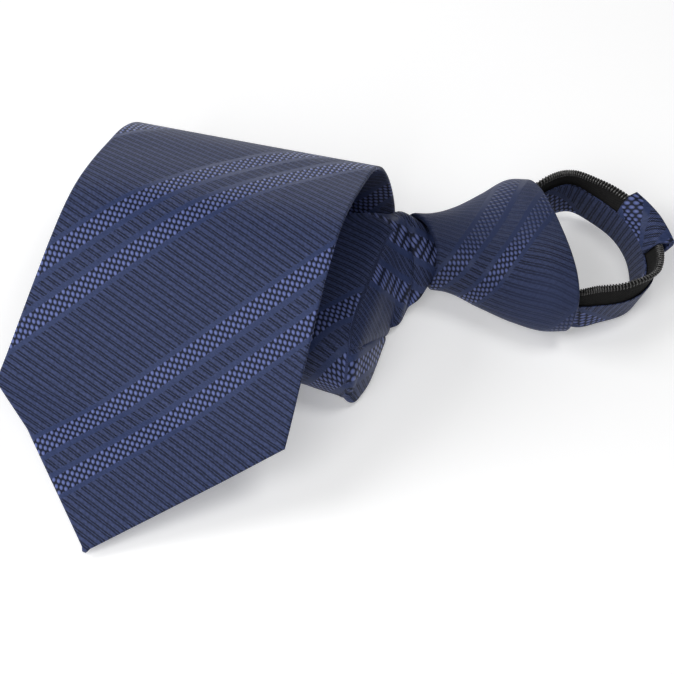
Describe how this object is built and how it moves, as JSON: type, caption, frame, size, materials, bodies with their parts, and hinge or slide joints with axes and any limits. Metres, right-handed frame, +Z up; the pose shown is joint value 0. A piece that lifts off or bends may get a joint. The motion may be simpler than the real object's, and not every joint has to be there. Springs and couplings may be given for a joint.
{
  "type": "zipper tie",
  "caption": "Pre-tied navy zipper tie lying with its wide blade drawn up over a hollow roll, with knot and closed neck loop.",
  "frame": {"origin": "middle of the floor under the whole tie as it lies", "axes": "+X along the knot towards the neck loop, +Z up, -Y towards the side the blade's tip points to"},
  "size_m": [0.1792, 0.1458, 0.0466],
  "materials": {
    "navy_weave": "satin jacquard weave with fine ribs and honeycomb stripes",
    "black_tape": "matte woven zipper tape",
    "coil": "semi-gloss nylon coil"
  },
  "bodies": {
    "root": {"blade": "navy_weave", "knot": "navy_weave", "neckband": "navy_weave", "keeper": "navy_weave", "zipper_tape": "black_tape", "zipper_teeth": "coil"}
  },
  "joints": []
}
